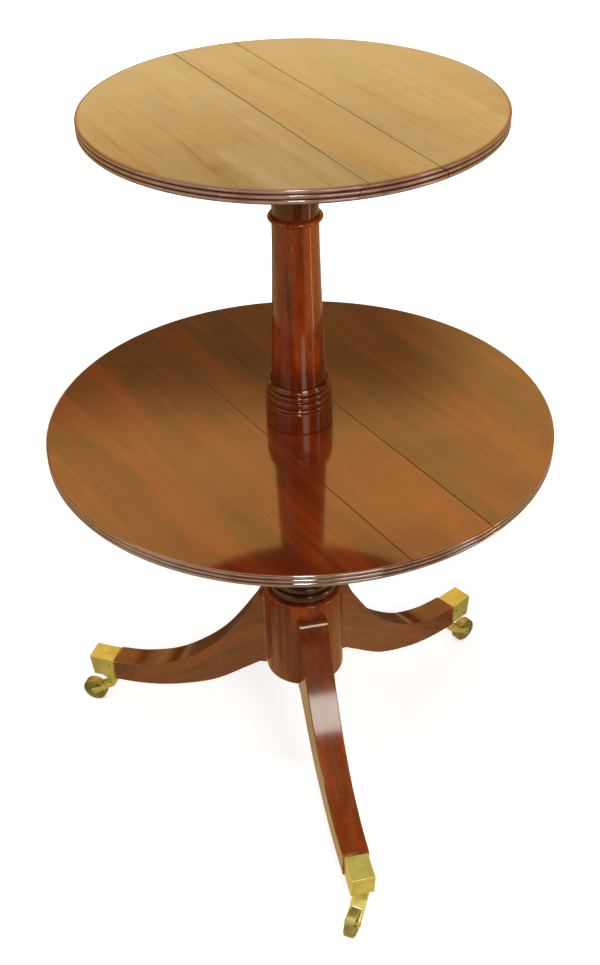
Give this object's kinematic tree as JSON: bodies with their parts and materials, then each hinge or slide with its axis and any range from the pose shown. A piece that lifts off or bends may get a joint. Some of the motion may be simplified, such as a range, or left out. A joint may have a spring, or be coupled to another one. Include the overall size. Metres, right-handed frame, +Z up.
{
  "type": "drop-leaf dumbwaiter table",
  "caption": "Round two-tier drop-leaf dumbwaiter table on a turned column and curved tripod legs with brass toe caps and casters.",
  "frame": {"origin": "on the floor, in the middle of the overall bounding box; the column's axis is 20.4 mm behind it", "axes": "+Z up along the column; -Y towards the front leg, +X towards the right leg's side"},
  "size_m": [0.6129, 0.6502, 0.945],
  "materials": {
    "mahogany_top": "french polished mahogany, faded on top, gloss",
    "mahogany": "french polished red-brown mahogany, gloss",
    "mahogany_dark": "unpolished mahogany, matte",
    "bright_brass": "polished yellow brass",
    "dull_brass": "worn brass, satin",
    "old_iron": "dark wrought iron, matte"
  },
  "bodies": {
    "stand": {"pedestal_block": "mahogany", "tie_plate": "old_iron", "leg_front": "mahogany", "toe_cap_front": "bright_brass", "caster_pintle_front": "old_iron", "leg_right": "mahogany", "toe_cap_right": "bright_brass", "caster_pintle_right": "old_iron", "leg_left": "mahogany", "toe_cap_left": "bright_brass", "caster_pintle_left": "old_iron", "lower_column": "mahogany", "lower_bearer": "mahogany_dark", "upper_column": "mahogany", "upper_bearer": "mahogany_dark"},
    "lower_tier": {"lower_centre_board": "mahogany_top", "lower_pivot_plate": "old_iron", "lower_stop_peg": "mahogany_dark", "lower_right_front_fixed_flap": "dull_brass", "lower_right_front_hinge_pin": "old_iron", "lower_right_back_fixed_flap": "dull_brass", "lower_right_back_hinge_pin": "old_iron", "lower_left_front_fixed_flap": "dull_brass", "lower_left_front_hinge_pin": "old_iron", "lower_left_back_fixed_flap": "dull_brass", "lower_left_back_hinge_pin": "old_iron"},
    "lower_right_leaf": {"lower_leaf_right": "mahogany_top", "lower_right_front_leaf_flap": "dull_brass", "lower_right_back_leaf_flap": "dull_brass"},
    "lower_left_leaf": {"lower_leaf_left": "mahogany_top", "lower_left_front_leaf_flap": "dull_brass", "lower_left_back_leaf_flap": "dull_brass"},
    "upper_tier": {"upper_centre_board": "mahogany_top", "upper_pivot_plate": "old_iron", "upper_stop_peg": "mahogany_dark", "upper_right_front_fixed_flap": "dull_brass", "upper_right_front_hinge_pin": "old_iron", "upper_right_back_fixed_flap": "dull_brass", "upper_right_back_hinge_pin": "old_iron", "upper_left_front_fixed_flap": "dull_brass", "upper_left_front_hinge_pin": "old_iron", "upper_left_back_fixed_flap": "dull_brass", "upper_left_back_hinge_pin": "old_iron"},
    "upper_right_leaf": {"upper_leaf_right": "mahogany_top", "upper_right_front_leaf_flap": "dull_brass", "upper_right_back_leaf_flap": "dull_brass"},
    "upper_left_leaf": {"upper_leaf_left": "mahogany_top", "upper_left_front_leaf_flap": "dull_brass", "upper_left_back_leaf_flap": "dull_brass"},
    "front_horn": {"caster_horn_front": "bright_brass", "caster_axle_front": "old_iron"},
    "front_wheel": {"caster_wheel_front": "dull_brass"},
    "right_horn": {"caster_horn_right": "bright_brass", "caster_axle_right": "old_iron"},
    "right_wheel": {"caster_wheel_right": "dull_brass"},
    "left_horn": {"caster_horn_left": "bright_brass", "caster_axle_left": "old_iron"},
    "left_wheel": {"caster_wheel_left": "dull_brass"}
  },
  "joints": [
    {"name": "lower_tier_turn", "type": "hinge", "parent": "stand", "child": "lower_tier", "pos_m": [0, 0.02045, 0.543], "axis": [0, 0, 1], "range_deg": [-90, 0]},
    {"name": "lower_right_leaf_drop", "type": "hinge", "parent": "lower_tier", "child": "lower_right_leaf", "pos_m": [0.04974, 0.03904, 0.5458], "axis": [-0.3502, 0.9367, 0], "range_deg": [0, 89]},
    {"name": "lower_left_leaf_drop", "type": "hinge", "parent": "lower_tier", "child": "lower_left_leaf", "pos_m": [-0.04974, 0.00185, 0.5458], "axis": [0.3502, -0.9367, 0], "range_deg": [0, 89]},
    {"name": "upper_tier_turn", "type": "hinge", "parent": "stand", "child": "upper_tier", "pos_m": [0, 0.02045, 0.93], "axis": [0, 0, 1], "range_deg": [-90, 0]},
    {"name": "upper_right_leaf_drop", "type": "hinge", "parent": "upper_tier", "child": "upper_right_leaf", "pos_m": [0.03741, 0.0311, 0.9328], "axis": [-0.274, 0.9617, 0], "range_deg": [0, 89]},
    {"name": "upper_left_leaf_drop", "type": "hinge", "parent": "upper_tier", "child": "upper_left_leaf", "pos_m": [-0.03741, 0.00979, 0.9328], "axis": [0.274, -0.9617, 0], "range_deg": [0, 89]},
    {"name": "front_caster_swivel", "type": "hinge", "parent": "stand", "child": "front_horn", "pos_m": [0, -0.288, 0.0579], "axis": [0, 0, 1], "continuous": true},
    {"name": "front_wheel_roll", "type": "hinge", "parent": "front_horn", "child": "front_wheel", "pos_m": [-0.01377, -0.30766, 0.018], "axis": [0.8192, -0.5736, 0], "continuous": true},
    {"name": "right_caster_swivel", "type": "hinge", "parent": "stand", "child": "right_horn", "pos_m": [0.26713, 0.17467, 0.0579], "axis": [0, 0, 1], "continuous": true},
    {"name": "right_wheel_roll", "type": "hinge", "parent": "right_horn", "child": "right_wheel", "pos_m": [0.28841, 0.18575, 0.018], "axis": [-0.4617, 0.887, 0], "continuous": true},
    {"name": "left_caster_swivel", "type": "hinge", "parent": "stand", "child": "left_horn", "pos_m": [-0.26713, 0.17467, 0.0579], "axis": [0, 0, 1], "continuous": true},
    {"name": "left_wheel_roll", "type": "hinge", "parent": "left_horn", "child": "left_wheel", "pos_m": [-0.28791, 0.18667, 0.018], "axis": [-0.5, -0.866, 0], "continuous": true}
  ]
}
